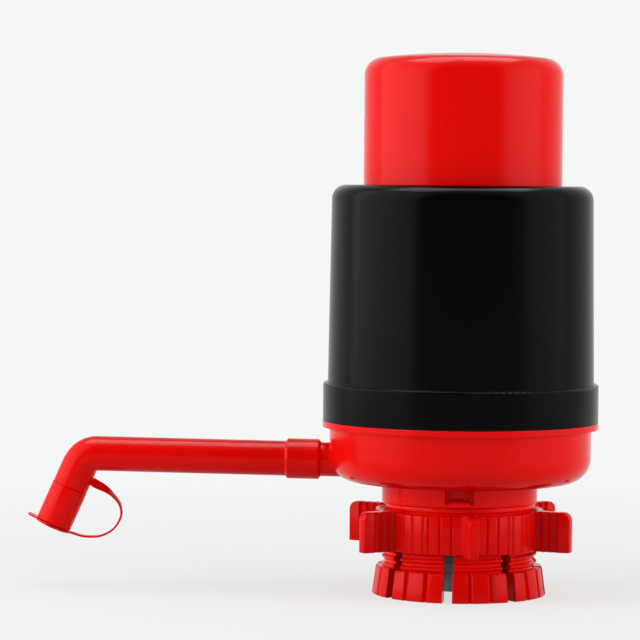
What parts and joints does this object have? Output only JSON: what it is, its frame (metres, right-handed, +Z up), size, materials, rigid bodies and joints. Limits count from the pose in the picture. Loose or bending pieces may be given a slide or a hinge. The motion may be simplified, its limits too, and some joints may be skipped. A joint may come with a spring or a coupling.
{
  "type": "water jug hand pump",
  "caption": "Hand pump for a water jug: a push cap squeezes a bellows in a round shell, over a split clamp with a wing nut, and water leaves by a side spout with a small lid.",
  "frame": {"origin": "on the pump's axis, in the plane of the bottle clamp's foot", "axes": "+Z up along the pump's axis, towards the push cap; the spout leaves along -X; the front, with a catch window, faces -Y"},
  "size_m": [0.2291, 0.1104, 0.216],
  "materials": {
    "red_plastic": "moulded gloss",
    "black_plastic": "moulded gloss",
    "grey_plastic": "moulded satin",
    "dark_rubber": "matt",
    "bellows_rubber": "matt",
    "screw_steel": "satin"
  },
  "bodies": {
    "pump_body": {"pump_shell": "black_plastic", "base_bowl": "red_plastic", "valve_plate": "grey_plastic", "plate_gasket": "dark_rubber", "bellows_clamp_ring": "grey_plastic", "base_screws": "screw_steel", "outlet_valve": "dark_rubber", "bellows": "bellows_rubber", "pipe_socket": "grey_plastic", "socket_seal": "dark_rubber", "pipe_sleeve": "dark_rubber", "bottle_seal": "dark_rubber", "bottle_clamp": "red_plastic"},
    "plunger": {"push_cap": "red_plastic", "bellows_top_plate": "grey_plastic", "cap_screws": "screw_steel", "inlet_valve": "dark_rubber"},
    "nut": {"wing_nut": "red_plastic"},
    "spout": {"spout_pipe": "red_plastic", "spout_o_ring": "dark_rubber", "nozzle_tip": "red_plastic", "cap_strap": "red_plastic"},
    "lid": {"tip_cap": "red_plastic"}
  },
  "joints": [
    {"name": "cap_push", "type": "slide", "parent": "pump_body", "child": "plunger", "axis": [0, 0, -1], "range_m": [0, 0.042], "stiffness_N_per_m": 550, "springref_m": -0.012, "deforming": ["bellows"]},
    {"name": "nut_turn", "type": "hinge", "parent": "pump_body", "child": "nut", "pos_m": [0, 0, 0.0264], "axis": [0, 0, 1], "range_deg": [-590, 345]},
    {"name": "spout_swivel", "type": "hinge", "parent": "pump_body", "child": "spout", "pos_m": [-0.0523, 0, 0.053], "axis": [-0.9999, 0, 0.0131], "continuous": true},
    {"name": "lid_pull", "type": "slide", "parent": "spout", "child": "lid", "axis": [-0.4059, 0, -0.9139], "range_m": [0, 0.008], "deforming": ["cap_strap"]}
  ]
}
